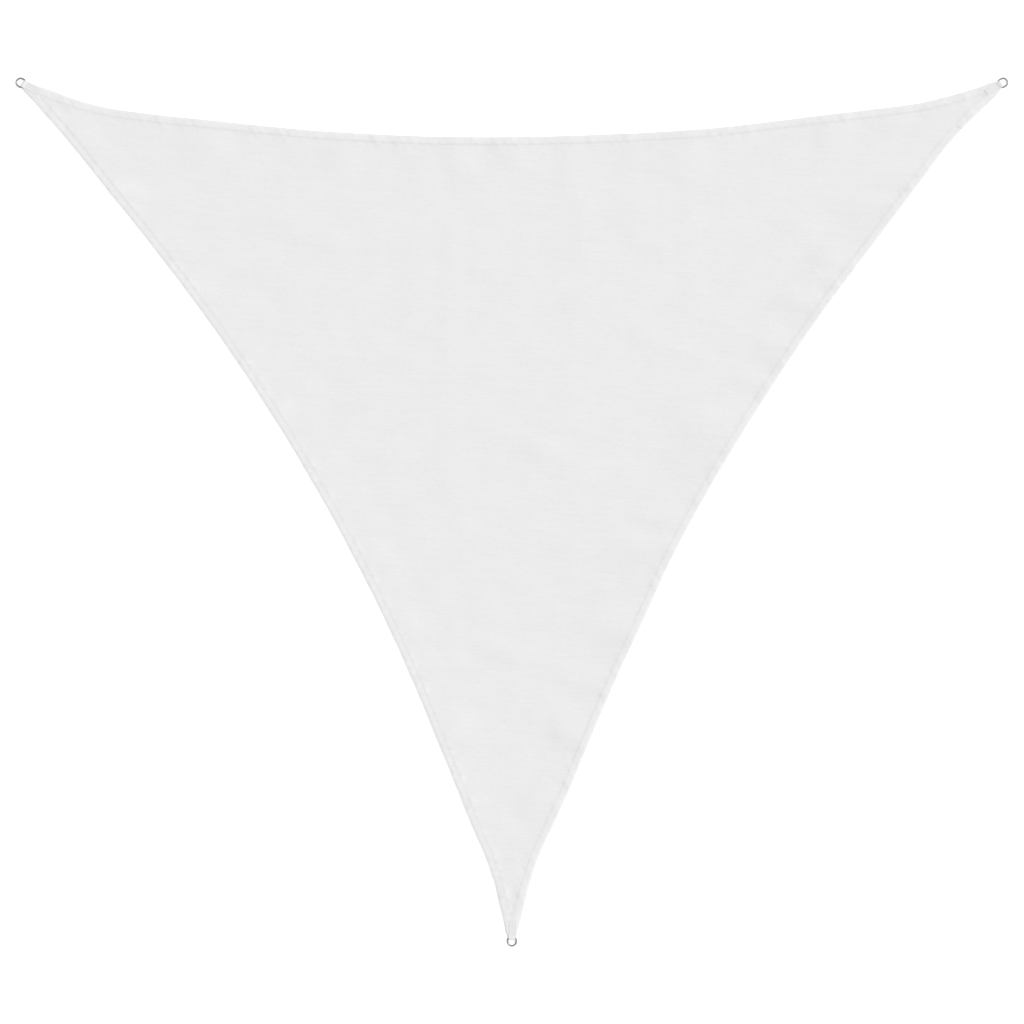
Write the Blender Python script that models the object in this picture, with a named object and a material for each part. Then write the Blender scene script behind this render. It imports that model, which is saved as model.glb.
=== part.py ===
"""Triangular shade sail, laid out on level ground with its face up.

One panel of knitted sun cloth with three drawn-in sides and a hem sewn down all round.
At each corner two hems run together into a doubled neck, and a webbing loop sewn over
the neck holds a D ring. Metres, +Z up. The origin is on the ground at the middle of the
sail's outline box, and +Y runs from the foot corner towards the top side.
"""
import math

import bmesh
import bpy
import numpy as np
from mathutils import Vector

MM = 0.001

# Ring bar to ring bar: across the top side, and from that side down to the foot corner
SPAN = 3546 * MM
DROP = 3100 * MM

# Cloth
PANEL_THICK = 1.2 * MM
HEM_WIDTH = 27.5 * MM
HEM_START = 78 * MM          # along a side from the ring bar to where its hem parts from the next
HEM_EASE = 200 * MM          # over which a hem settles to its width beyond that point
NECK_END_WIDTH = 32 * MM
NECK_THICK = 3.0 * MM
RIM_THICK = 0.8 * MM
PANEL_ROWS = 60              # rows of the panel's mesh from any side to the opposite corner
WELD = 0.02 * MM             # patches of the skin that meet are joined within this

# Section of the hem, from the folded rim in to the panel
#    inset as a share of the width, thickness, height of the underside
HEM_SECTION = (
    (0.00,    RIM_THICK,   0.6 * MM),
    (0.08,    1.7 * MM,    0.0),
    (0.35,    2.1 * MM,    0.0),
    (0.82,    1.9 * MM,    0.0),
    (1.00,    PANEL_THICK, 0.0),
)
RIM_COLUMNS = 2              # columns of that section that keep their thickness along a neck

# Rows across a neck, as shares of the way from the hems' parting to the ring
NECK_ROWS = (0.0, 0.09, 0.35, 0.62, 0.84, 1.0)

# Webbing loop
TAPE_WIDTH = 24 * MM         # 25 mm webbing, drawn in a little where it is sewn
TAPE_THICK = 1.3 * MM
TAIL_LENGTH = 64 * MM
TAPE_SETTLE = 16 * MM        # length over which the upper tail comes down to the neck
TAPE_SETTLE_STEPS = 6
TAPE_TURN_STEPS = 12

# D ring
WIRE = 6 * MM
RING_WIDTH = 37 * MM
RING_CORNER = 3.6 * MM       # bend of the wire's centre line at the bar's ends
RING_CORNER_STEPS = 3
RING_ARC_REACH = 11 * MM     # bar to the centre of the bow
RING_ARC_STEPS = 20

GAP = 0.3 * MM               # between pieces that bear on each other

BAR_HEIGHT = TAPE_THICK + GAP + WIRE / 2
NECK_END = WIRE / 2 + GAP
NECK_LIFT = TAPE_THICK + GAP
LIFT_END = 120 * MM          # from the bar to where the cloth is down on the ground again
BOW_RADIUS = (RING_WIDTH - WIRE) / 2

# How far each side is drawn in from the straight line between its ring bars, in mm
#    share of the side   top  left  right
DRAW_IN = (
    (0.010,               -2,   -8,  -10),
    (0.020,               12,    1,    0),
    (0.035,               32,   11,   17),
    (0.050,               52,   23,   33),
    (0.080,               82,   43,   57),
    (0.125,              106,   68,   77),
    (0.200,              135,  110,  111),
    (0.300,              169,  156,  154),
    (0.400,              188,  184,  179),
    (0.500,              192,  194,  189),
    (0.600,              182,  186,  178),
    (0.645,              175,  177,  162),
    (0.700,              162,  160,  146),
    (0.800,              121,  116,  106),
    (0.845,              102,   94,   85),
    (0.875,               89,   79,   76),
    (0.920,               67,   60,   60),
    (0.950,               41,   37,   36),
    (0.965,               26,   20,   21),
    (0.980,                9,    5,    5),
    (0.990,               -5,   -7,   -6),
)
COLUMN = {"top": 1, "left": 2, "right": 3}

# Swells where the sewn hem gathers the cloth, in mm. Each rises and falls along the side and
# leans along it as it runs into the panel, by so much for each mm.
#    side     share  run up  run down  rim to crest  reach beyond  lean  height
SEAM_SWELLS = (
    ("top",   0.187,    260,      120,           75,          110,  0.1,    4.0),
    ("top",   0.325,     90,      110,          110,           90,  0.0,    2.0),
    ("top",   0.442,     80,      100,          100,           90,  0.1,    3.0),
    ("top",   0.503,    110,       80,           85,           70,  0.0,    2.5),
    ("top",   0.682,    170,      110,          120,          130,  0.1,    4.0),
    ("top",   0.822,     80,      150,           85,           80,  0.0,    3.0),
    ("top",   0.900,    120,       80,           60,           80,  0.0,    2.0),
    ("left",  0.080,     80,       80,           50,           80,  0.3,    3.0),
    ("left",  0.143,     90,       90,           50,           80,  0.2,    4.0),
    ("left",  0.275,     80,       80,           50,           80,  0.2,    2.5),
    ("left",  0.302,     80,       80,          150,           90,  0.3,    3.0),
    ("left",  0.345,    100,       80,           50,           80,  0.2,    3.5),
    ("left",  0.412,     80,       80,           50,           80,  0.2,    3.5),
    ("left",  0.490,    130,      130,           50,          130,  0.3,    2.5),
    ("left",  0.585,     80,       80,           60,          110,  0.3,    4.5),
    ("left",  0.665,     90,       80,           50,           90,  0.2,    2.5),
    ("left",  0.712,     80,       80,          165,           80,  0.3,    4.0),
    ("left",  0.780,    130,      110,           60,          140,  0.3,    4.5),
    ("left",  0.858,     80,       80,           50,           70,  0.1,    3.0),
    ("right", 0.125,    110,       80,          120,          120,  0.6,    2.5),
    ("right", 0.156,     80,      110,           90,          110,  0.6,    5.0),
    ("right", 0.238,     80,      190,          105,           85,  0.2,    4.5),
    ("right", 0.285,     80,       80,          115,           85,  0.3,    5.0),
    ("right", 0.342,    100,       80,           90,          110,  0.2,    3.5),
    ("right", 0.452,    170,      200,          110,          200,  0.1,    6.5),
    ("right", 0.572,     90,      110,          140,          150,  0.6,    6.5),
    ("right", 0.668,    170,       90,          110,          140,  0.3,    4.0),
    ("right", 0.788,    110,       80,          100,           80,  0.1,    5.5),
    ("right", 0.866,     90,       90,          100,           80,  0.2,    3.5),
)
RIM_LIFT = 0.75              # share of the height beside it that the rim is lifted by

# The stiff hem holds itself and the cloth beside it off the ground, except near a corner
HEM_LIFT = {"top": 0.2 * MM, "left": 1.0 * MM, "right": 1.8 * MM}
HEM_LIFT_RISE = 8 * MM       # rim to where that lift is full
HEM_LIFT_START, HEM_LIFT_END = 44 * MM, 160 * MM   # over which it fades out in the panel

# Soft creases across the panel, from one end to the other, in mm
#     x from  y from   x to  y to   half width   height
CREASES = (
    (    -80,    305,   325,   145,          65,     2.3),
    (   -930,   1095,  -540,   935,          65,     1.5),
    (   -240,   -425,   270,  -610,          70,     1.9),
    (    870,   1100,  1140,   995,          65,     1.5),
    (    380,    675,   770,   530,          65,     1.6),
    (   -480,    575,  -230,   500,          65,     1.2),
    (    400,   1025,   580,   930,          65,     1.2),
    (   -225,   1290,  -225,   -30,          70,     1.2),
    (    260,   1320,   260,   640,          70,     1.0),
    (    645,   1320,   645,   720,          70,     1.0),
)

# Where the origin lies: the outline box runs from the foot ring's bow to the top rings' bows
HALF_ANGLE_TOP = math.atan2(DROP, SPAN / 2) / 2
FOOT_REACH = RING_ARC_REACH + RING_WIDTH / 2
TOP_REACH = RING_ARC_REACH * math.sin(HALF_ANGLE_TOP) + RING_WIDTH / 2
TOP_Y = (DROP + FOOT_REACH - TOP_REACH) / 2

BARS = {
    "left": Vector((-SPAN / 2, TOP_Y)),
    "right": Vector((SPAN / 2, TOP_Y)),
    "foot": Vector((0, TOP_Y - DROP)),
}
SIDE_ENDS = {"top": ("left", "right"), "left": ("left", "foot"), "right": ("right", "foot")}


def clear_scene():
    for item in list(bpy.data.objects):
        bpy.data.objects.remove(item, do_unlink=True)


def finish(name, colour, roughness, metallic):
    """A plain material of one finish."""
    material = bpy.data.materials.new(name)
    material.use_nodes = True
    shader = material.node_tree.nodes["Principled BSDF"]
    shader.inputs["Base Color"].default_value = (*colour, 1)
    shader.inputs["Roughness"].default_value = roughness
    shader.inputs["Metallic"].default_value = metallic
    return material


def ease(share):
    """A soft step from 0 to 1."""
    share = min(max(share, 0), 1)
    return share * share * (3 - 2 * share)


def mound(offset, half_width):
    """A soft hump, 1 in the middle and 0 from half_width on."""
    if abs(offset) >= half_width:
        return 0
    return math.cos(math.pi / 2 * offset / half_width) ** 2


def corner_axis(corner):
    """Unit vector from a ring bar into the sail, half way between its two sides."""
    others = [BARS[name] - BARS[corner] for name in BARS if name != corner]
    return (others[0].normalized() + others[1].normalized()).normalized()


AXES = {corner: corner_axis(corner) for corner in BARS}


class Side:
    """A drawn-in side of the sail. Places along it are measured on its chord."""

    def __init__(self, name):
        self.corners = SIDE_ENDS[name]
        start, end = (BARS[corner] for corner in self.corners)
        self.start = start
        self.length = (end - start).length
        self.chord = (end - start).normalized()
        middle = sum(BARS.values(), Vector((0, 0))) / 3
        self.inward = Vector((-self.chord.y, self.chord.x))
        if self.inward.dot(middle - start) < 0:
            self.inward.negate()
        rows = [(row[0] * self.length, row[COLUMN[name]] * MM) for row in DRAW_IN]
        rows = [self.neck_corner(0)] + rows + [self.neck_corner(1)]
        self.reach = np.array([row[0] for row in rows])
        self.depth = np.array([row[1] for row in rows])
        self.slope = np.gradient(self.depth, self.reach)

    def on_chord(self, point):
        """A point's place along the chord, and its depth inside it."""
        offset = point - self.start
        return offset.dot(self.chord), offset.dot(self.inward)

    def within(self, point):
        """A point's place along the chord, and its inset from the rim."""
        along, depth = self.on_chord(point)
        return along, depth - self.draw_in(along)

    def neck_corner(self, end):
        """This side's corner of the neck's cut end, on the chord."""
        corner = self.corners[end]
        axis = AXES[corner]
        outward = Vector((-axis.y, axis.x))
        if outward.dot(self.inward) > 0:
            outward.negate()
        return self.on_chord(BARS[corner] + axis * NECK_END + outward * NECK_END_WIDTH / 2)

    def draw_in(self, along):
        """Depth of the rim inside the chord: a smooth curve through the rows."""
        row = int(np.clip(np.searchsorted(self.reach, along) - 1, 0, len(self.reach) - 2))
        step = self.reach[row + 1] - self.reach[row]
        t = (along - self.reach[row]) / step
        low, high = self.depth[row], self.depth[row + 1]
        low_slope, high_slope = self.slope[row] * step, self.slope[row + 1] * step
        rise = high - low
        return low + t * (low_slope + t * (3 * rise - 2 * low_slope - high_slope
                                           + t * (low_slope + high_slope - 2 * rise)))

    def rim(self, along):
        return self.start + self.chord * along + self.inward * self.draw_in(along)

    def into_panel(self, along):
        """Unit vector square to the rim, into the cloth."""
        step = 1 * MM
        run = (self.rim(along + step) - self.rim(along - step)).normalized()
        square = Vector((-run.y, run.x))
        return square if square.dot(self.inward) > 0 else -square

    def hem_start(self, end):
        """Along the chord, where the hem parts from the next one at either end."""
        return self.length - HEM_START if end else HEM_START

    def neck_limit(self, end):
        """Along the chord, the neck's cut end."""
        return self.reach[-1] if end else self.reach[0]

    def hem_section(self, share):
        """The rim and the sewn line of the hem, opposite each other, at a share of its run."""
        along = self.hem_start(0) + (self.hem_start(1) - self.hem_start(0)) * share
        rim = self.rim(along)
        sewn = rim + self.into_panel(along) * HEM_WIDTH
        for end in (0, 1):
            limit = self.hem_start(end)
            meant = parting(self.corners[end])
            plain = self.rim(limit) + self.into_panel(limit) * HEM_WIDTH
            sewn += (meant - plain) * (1 - ease(abs(along - limit) / HEM_EASE))
        return rim, sewn


def sides_at(corner):
    """The two sides that meet at a corner, each with the end that lies there."""
    return [(side, side.corners.index(corner)) for side in SIDES.values()
            if corner in side.corners]


def neck_middle(corner, share):
    """The middle of the neck, at a share of the way from the hems' parting to the ring."""
    rims = [neck_rim(side, end, share) for side, end in sides_at(corner)]
    return (rims[0] + rims[1]) / 2


def neck_rim(side, end, share):
    along = side.hem_start(end) + (side.neck_limit(end) - side.hem_start(end)) * share
    return side.rim(along)


def parting(corner):
    """Where the sewn lines of two hems meet."""
    return neck_middle(corner, 0)


def from_bar(point, corner):
    return (point - BARS[corner]).dot(AXES[corner])


def seam_swell(point, row):
    """Lift of one swell: full on its crest, little at the rim, none past its reach."""
    name, share, run_up, run_down, crest, reach, lean, height = row
    side = SIDES[name]
    along, inset = side.within(point)
    past_crest = along - share * side.length - lean * inset
    hump = mound(past_crest, (run_up if past_crest < 0 else run_down) * MM)
    if hump == 0:
        return 0
    if inset < crest * MM:
        across = RIM_LIFT + (1 - RIM_LIFT) * ease(inset / (crest * MM))
    else:
        across = mound(inset - crest * MM, reach * MM)
    return height * MM * hump * across


def hem_lift(point, name):
    """Lift of one side's hem and of the cloth beside it."""
    side = SIDES[name]
    along, inset = side.within(point)
    rise = RIM_LIFT + (1 - RIM_LIFT) * ease(inset / HEM_LIFT_RISE)
    fall = 1 - ease((inset - HEM_LIFT_START) / (HEM_LIFT_END - HEM_LIFT_START))
    clear = ease(along / LIFT_END) * ease((side.length - along) / LIFT_END)
    return HEM_LIFT[name] * rise * fall * clear


def crease(point, row):
    """Lift of one soft ridge, fading out over the last quarter of each end."""
    x_from, y_from, x_to, y_to, half_width, height = row
    start = Vector((x_from, y_from)) * MM
    run = Vector((x_to, y_to)) * MM - start
    along = (point - start).dot(run) / run.length_squared
    if not 0 < along < 1:
        return 0
    aside = (point - start - run * along).length
    return height * MM * mound(aside, half_width * MM) * ease(4 * min(along, 1 - along))


def ground_clearance(point):
    """Height of the cloth's underside, apart from the turn of the rim."""
    lift = sum(seam_swell(point, row) for row in SEAM_SWELLS)
    lift += sum(hem_lift(point, name) for name in SIDES)
    lift += sum(crease(point, row) for row in CREASES)
    for corner in BARS:
        past_tail = from_bar(point, corner) - TAIL_LENGTH - GAP
        if (point - BARS[corner]).length < LIFT_END:
            share = ease(past_tail / (LIFT_END - TAIL_LENGTH - GAP))
            lift = NECK_LIFT + (lift - NECK_LIFT) * share
    return lift


def lay(vert, point, thickness, turn, layer):
    """Put a vertex of the underside in its place and note the cloth's thickness there."""
    vert.co = (point.x, point.y, ground_clearance(point) + turn)
    vert[layer] = thickness


def lay_panel(mesh, layer):
    """The panel inside the hems: a triangle in even rows, drawn in to the sewn lines."""
    names = ("left", "right", "foot")
    partings = {name: parting(name) for name in names}
    template = [mesh.verts.new(place) for place in ((0, 0, 0), (1, 0, 0), (0, 1, 0))]
    mesh.faces.new(template)
    bmesh.ops.subdivide_edges(mesh, edges=mesh.edges[:], cuts=PANEL_ROWS - 1,
                              use_grid_fill=True)
    for vert in mesh.verts:
        share = {"right": vert.co.x, "foot": vert.co.y, "left": 1 - vert.co.x - vert.co.y}
        point = sum((partings[name] * share[name] for name in names), Vector((0, 0)))
        for side in SIDES.values():
            first, last = side.corners
            lean = share[last] - share[first]
            weight = 4 * share[first] * share[last]
            if weight > 1e-9:
                along = (1 + lean) / 2
                drawn = side.hem_section(along)[1]
                straight = partings[first].lerp(partings[last], along)
                point += (drawn - straight) * weight / (1 - lean * lean)
        lay(vert, point, PANEL_THICK, 0, layer)


def strip(mesh, along, across):
    """A flat grid of cells, each vertex given with its step along and across."""
    grid = bmesh.ops.create_grid(mesh, x_segments=along, y_segments=across, size=0.5)
    return [(vert, round((vert.co.x + 0.5) * along), round((vert.co.y + 0.5) * across))
            for vert in grid["verts"]]


def lay_hem(mesh, layer, side):
    """The hem of one side between its two partings."""
    for vert, step, column in strip(mesh, PANEL_ROWS, len(HEM_SECTION) - 1):
        inset, thickness, turn = HEM_SECTION[column]
        rim, sewn = side.hem_section(step / PANEL_ROWS)
        lay(vert, rim.lerp(sewn, inset), thickness, turn, layer)


def lay_half_neck(mesh, layer, side, end):
    """Half of a neck, from the middle of the corner out to one side's rim."""
    corner = side.corners[end]
    for vert, step, column in strip(mesh, len(NECK_ROWS) - 1, len(HEM_SECTION) - 1):
        inset, thickness, turn = HEM_SECTION[column]
        share = NECK_ROWS[step]
        rim, middle = neck_rim(side, end, share), neck_middle(corner, share)
        if step > 0 and column >= RIM_COLUMNS:
            thickness = NECK_THICK
        lay(vert, rim.lerp(middle, inset), thickness, turn, layer)


def build_cloth(material):
    """Panel, hems and necks laid as one skin, then given the cloth's thickness."""
    mesh = bmesh.new()
    layer = mesh.verts.layers.float.new("thickness")
    lay_panel(mesh, layer)
    for side in SIDES.values():
        lay_hem(mesh, layer, side)
        for end in (0, 1):
            lay_half_neck(mesh, layer, side, end)
    bmesh.ops.remove_doubles(mesh, verts=mesh.verts[:], dist=WELD)
    underside = set(mesh.verts)
    bmesh.ops.extrude_face_region(mesh, geom=mesh.faces[:])
    for vert in mesh.verts:
        if vert not in underside:
            vert.co.z += vert[layer]
    bmesh.ops.recalc_face_normals(mesh, faces=mesh.faces[:])
    return place_mesh("sail_cloth", mesh, material)


def place_mesh(name, mesh, material):
    data = bpy.data.meshes.new(name)
    mesh.to_mesh(data)
    mesh.free()
    data.materials.append(material)
    data.shade_smooth()
    data.set_sharp_from_angle(angle=math.radians(40))
    item = bpy.data.objects.new(name, data)
    bpy.context.collection.objects.link(item)
    return item


def tape_route():
    """Middle of the tape's thickness in the corner's upright plane: distance, height."""
    turn_radius = WIRE / 2 + GAP + TAPE_THICK / 2
    tail_height = NECK_LIFT + NECK_THICK + GAP + TAPE_THICK / 2
    route = [(TAIL_LENGTH, TAPE_THICK / 2), (TAIL_LENGTH / 2, TAPE_THICK / 2)]
    for step in range(TAPE_TURN_STEPS + 1):
        angle = -math.pi / 2 - math.pi * step / TAPE_TURN_STEPS
        route.append((turn_radius * math.cos(angle), BAR_HEIGHT + turn_radius * math.sin(angle)))
    top = BAR_HEIGHT + turn_radius
    for step in range(1, TAPE_SETTLE_STEPS + 1):
        share = step / TAPE_SETTLE_STEPS
        route.append((TAPE_SETTLE * share, top + (tail_height - top) * ease(share)))
    route += [(TAIL_LENGTH / 2, tail_height), (TAIL_LENGTH, tail_height)]
    return [Vector(point) for point in route]


def build_loop(material):
    """One webbing loop, with the ring bar along Y and the sail towards +X."""
    route = tape_route()
    mesh = bmesh.new()
    pairs = []
    for index, point in enumerate(route):
        before, after = route[max(index - 1, 0)], route[min(index + 1, len(route) - 1)]
        run = (after - before).normalized()
        square = Vector((-run.y, run.x)) * TAPE_THICK / 2
        pairs.append([mesh.verts.new((place.x, -TAPE_WIDTH / 2, place.y))
                      for place in (point - square, point + square)])
    for (low, high), (next_low, next_high) in zip(pairs, pairs[1:]):
        mesh.faces.new((low, next_low, next_high, high))
    grown = bmesh.ops.extrude_face_region(mesh, geom=mesh.faces[:])
    moved = [item for item in grown["geom"] if isinstance(item, bmesh.types.BMVert)]
    bmesh.ops.translate(mesh, verts=moved, vec=(0, TAPE_WIDTH, 0))
    bmesh.ops.recalc_face_normals(mesh, faces=mesh.faces[:])
    return place_mesh("corner_loop_left", mesh, material)


def arc(centre, radius, start, end, steps):
    """Points of an arc between two angles in degrees."""
    angles = [math.radians(start + (end - start) * step / steps) for step in range(steps + 1)]
    return [(centre[0] + radius * math.cos(angle), centre[1] + radius * math.sin(angle))
            for angle in angles]


def build_ring(material):
    """One D ring: its bar along Y through the origin, its bow towards -X."""
    bend = BOW_RADIUS - RING_CORNER
    outline = arc((-RING_CORNER, bend), RING_CORNER, 0, 90, RING_CORNER_STEPS)
    outline += arc((-RING_ARC_REACH, 0), BOW_RADIUS, 90, 270, RING_ARC_STEPS)
    outline += arc((-RING_CORNER, -bend), RING_CORNER, 270, 360, RING_CORNER_STEPS)
    curve = bpy.data.curves.new("ring_left", "CURVE")
    curve.dimensions = "3D"
    curve.bevel_depth = WIRE / 2
    curve.bevel_resolution = 3
    spline = curve.splines.new("POLY")
    spline.points.add(len(outline) - 1)
    for point, (x, y) in zip(spline.points, outline):
        point.co = (x, y, 0, 1)
    spline.use_cyclic_u = True
    spline.use_smooth = True
    curve.materials.append(material)
    item = bpy.data.objects.new("ring_left", curve)
    bpy.context.collection.objects.link(item)
    return item


def fit_corner(corner, loop, ring):
    """Set a loop and its ring at a corner, the ring's bow down on the ground."""
    axis, bar = AXES[corner], BARS[corner]
    heading = math.atan2(axis.y, axis.x)
    loop.name = "corner_loop_" + corner
    loop.location = (bar.x, bar.y, 0)
    loop.rotation_euler = (0, 0, heading)
    tilt = math.asin((BAR_HEIGHT - WIRE / 2) / (RING_ARC_REACH + BOW_RADIUS))
    ring.name = "ring_" + corner
    ring.location = (bar.x, bar.y, BAR_HEIGHT)
    ring.rotation_euler = (0, -tilt, heading)


def copy_of(item):
    twin = item.copy()
    bpy.context.collection.objects.link(twin)
    return twin


SIDES = {name: Side(name) for name in SIDE_ENDS}

clear_scene()
cloth_finish = finish("sun_cloth", (0.84, 0.84, 0.84), 0.9, 0)
tape_finish = finish("webbing", (0.82, 0.82, 0.82), 0.85, 0)
steel_finish = finish("steel", (0.55, 0.55, 0.55), 0.3, 1)

build_cloth(cloth_finish)
first_loop = build_loop(tape_finish)
first_ring = build_ring(steel_finish)
fit_corner("left", first_loop, first_ring)
for corner_name in ("right", "foot"):
    fit_corner(corner_name, copy_of(first_loop), copy_of(first_ring))
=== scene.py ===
import math

import bmesh
import bpy
import numpy as np
from mathutils import Euler, Matrix, Vector


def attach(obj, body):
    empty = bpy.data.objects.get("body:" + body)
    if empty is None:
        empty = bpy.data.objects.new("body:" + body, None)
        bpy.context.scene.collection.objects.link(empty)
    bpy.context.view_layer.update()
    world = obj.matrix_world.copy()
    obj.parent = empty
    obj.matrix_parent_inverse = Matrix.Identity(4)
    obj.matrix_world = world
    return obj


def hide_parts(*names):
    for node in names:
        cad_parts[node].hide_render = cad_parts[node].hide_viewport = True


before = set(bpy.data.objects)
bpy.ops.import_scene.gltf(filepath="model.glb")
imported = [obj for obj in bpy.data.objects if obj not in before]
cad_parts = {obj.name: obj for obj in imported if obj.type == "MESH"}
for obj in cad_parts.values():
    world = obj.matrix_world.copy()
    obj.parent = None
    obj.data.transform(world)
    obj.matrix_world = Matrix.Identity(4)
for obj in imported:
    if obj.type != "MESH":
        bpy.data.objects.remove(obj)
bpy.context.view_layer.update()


# Sail cloth. One triangle of knitted plastic sun cloth with its three sides cut to a curve.
# The edge is turned under twice and sewn down all round, which gathers the cloth into low
# swells, and at each corner two hems run together into a doubled neck. It lies face up.

MM = 0.001
SPAN = 3546 * MM             # ring bar to ring bar across the top side
DROP = 3100 * MM             # from the top side's bars down to the foot corner's
RING_WIDTH = 37 * MM
RING_ARC_REACH = 11 * MM     # a ring's bar to the centre of its bow
SEAM_INSET = 27.5 * MM       # rim to the sewn line
EDGE_WIDTH = 44 * MM         # rim to where the seam's pull on the cloth has faded
EDGE_START = 122 * MM        # along a side, where that strip parts from the next side's
EDGE_EASE = 200 * MM         # over which it settles to its width beyond that point
PANEL_ROWS = 160
EDGE_STEPS_A_ROW = 4
NECK_ROWS = 22
NECK_END = 3.3 * MM          # the neck's cut end, short of the ring's bar
NECK_END_WIDTH = 32 * MM
NECK_THICK = 3.0 * MM
NECK_RISE = 5 * MM           # rim to where the neck is that thick
NECK_FADE = 25 * MM          # past the webbing, over which it thins to the cloth
NECK_LIFT = 1.6 * MM         # the neck lies on the webbing's lower tail
TAIL_END = 64.3 * MM         # that tail's reach from the bar
LIFT_END = 120 * MM          # from the bar to where the cloth is down on the ground again
WELD = 0.02 * MM             # parts of a mesh that meet are joined within this
TINY = 1e-9
SHARP, SMOOTH = 50, 180      # degrees between two faces from which their edge is a sharp one

# Section of the edge, from the folded rim across the sewn line, in mm
#    inset  underside    top
EDGE_SECTION = np.array((
    (0.0,    0.70,      1.15),
    (1.5,    0.20,      1.28),
    (3.0,    0.03,      1.44),
    (5.0,    0.00,      1.70),
    (7.0,    0.00,      1.94),
    (8.5,    0.00,      2.06),
    (10.0,   0.00,      2.10),
    (13.0,   0.00,      2.06),
    (18.0,   0.00,      1.92),
    (22.5,   0.00,      1.80),
    (25.5,   0.06,      1.68),
    (27.5,   0.14,      1.52),
    (29.5,   0.10,      1.48),
    (32.0,   0.02,      1.37),
    (36.5,   0.00,      1.26),
    (44.0,   0.00,      1.20),
)) * MM

# How far each side is drawn in from the straight line between its ring bars, in mm
#    share of the side   top  left  right
DRAW_IN = (
    (0.010,               -2,   -8,  -10),
    (0.020,               12,    1,    0),
    (0.035,               32,   11,   17),
    (0.050,               52,   23,   33),
    (0.080,               82,   43,   57),
    (0.125,              106,   68,   77),
    (0.200,              135,  110,  111),
    (0.300,              169,  156,  154),
    (0.400,              188,  184,  179),
    (0.500,              192,  194,  189),
    (0.600,              182,  186,  178),
    (0.645,              175,  177,  162),
    (0.700,              162,  160,  146),
    (0.800,              121,  116,  106),
    (0.845,              102,   94,   85),
    (0.875,               89,   79,   76),
    (0.920,               67,   60,   60),
    (0.950,               41,   37,   36),
    (0.965,               26,   20,   21),
    (0.980,                9,    5,    5),
    (0.990,               -5,   -7,   -6),
)
COLUMN = {"top": 1, "left": 2, "right": 3}
SIDE_ENDS = {"top": ("left", "right"), "left": ("left", "foot"), "right": ("right", "foot")}

# Swells where the sewn hem gathers the cloth, in mm. Each rises and falls along the side and
# leans along it as it runs into the panel, by so much for each mm.
#    side     share  run up  run down  rim to crest  reach beyond  lean  height
SEAM_SWELLS = (
    ("top",   0.055,     60,       90,           90,           60,  0.0,    2.0),
    ("top",   0.187,    260,      120,           75,          110,  0.1,    4.0),
    ("top",   0.325,     90,      110,          110,           90,  0.0,    2.0),
    ("top",   0.386,     45,       60,           45,           40,  0.0,    1.2),
    ("top",   0.442,     75,      100,          100,           90,  0.1,    3.0),
    ("top",   0.503,    110,       80,           85,           60,  0.0,    2.5),
    ("top",   0.557,     60,       80,          185,           70,  0.0,    2.0),
    ("top",   0.682,    170,      110,          120,          130,  0.1,    4.0),
    ("top",   0.822,     65,      150,           85,           80,  0.0,    3.0),
    ("top",   0.900,    120,       70,           60,           70,  0.0,    2.0),
    ("left",  0.080,     70,       60,           45,           75,  0.3,    3.0),
    ("left",  0.143,     80,       80,           45,           80,  0.2,    4.0),
    ("left",  0.220,     80,       80,           60,           70,  0.2,    2.0),
    ("left",  0.275,     70,       80,           45,           75,  0.2,    2.5),
    ("left",  0.302,     65,       60,          150,           90,  0.3,    3.0),
    ("left",  0.345,    100,       80,           40,           80,  0.2,    3.5),
    ("left",  0.392,     80,       90,          165,           90,  0.3,    2.5),
    ("left",  0.412,     70,       60,           38,           70,  0.2,    3.5),
    ("left",  0.490,    130,      130,           50,          130,  0.3,    2.5),
    ("left",  0.585,     80,       65,           60,          110,  0.3,    4.5),
    ("left",  0.665,     90,       80,           45,           90,  0.2,    2.5),
    ("left",  0.712,     70,       60,          165,           75,  0.3,    4.0),
    ("left",  0.780,    130,      110,           60,          140,  0.3,    4.5),
    ("left",  0.858,     60,       55,           38,           65,  0.1,    3.0),
    ("left",  0.890,     90,       70,          110,           65,  0.2,    3.0),
    ("right", 0.125,    110,       80,          120,          120,  0.6,    2.5),
    ("right", 0.156,     75,      110,           90,          110,  0.6,    5.0),
    ("right", 0.238,     75,      190,          105,           85,  0.2,    4.5),
    ("right", 0.285,     80,       70,          115,           85,  0.3,    5.0),
    ("right", 0.342,    100,       80,           90,          110,  0.2,    3.5),
    ("right", 0.386,     60,       55,          115,           65,  0.1,    2.5),
    ("right", 0.452,    170,      200,          110,          200,  0.1,    6.5),
    ("right", 0.548,     70,       60,          165,           70,  0.3,    2.5),
    ("right", 0.572,     90,      110,          140,          150,  0.6,    6.5),
    ("right", 0.668,    170,       90,          110,          140,  0.3,    4.0),
    ("right", 0.728,     80,       60,          145,           75,  0.3,    2.5),
    ("right", 0.788,    110,       75,          100,           80,  0.1,    5.5),
    ("right", 0.866,     90,       90,          100,           80,  0.2,    3.5),
)

# How hard the stitching pulls its groove in, and how dark the shade painted along it is, as a
# share of the usual
#    share of the side   top  left  right
SEAM_PULL = np.array((
    (0.00,                0.9,  1.3,   0.4),
    (0.10,                0.8,  1.5,   0.3),
    (0.20,                0.9,  1.4,   0.9),
    (0.35,                1.1,  0.8,   0.7),
    (0.50,                1.0,  0.9,   0.6),
    (0.65,                0.9,  0.7,   0.8),
    (0.75,                1.0,  0.8,   0.9),
    (0.90,                1.0,  0.6,   0.5),
    (1.00,                0.5,  0.4,   1.1),
))
PULL_PITCH = 37 * MM         # its pull comes and goes over this length
PULL_WAVER = 0.35
PULL_PHASE = 1.0             # of the slower swell in that, after the ripples'

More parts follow.
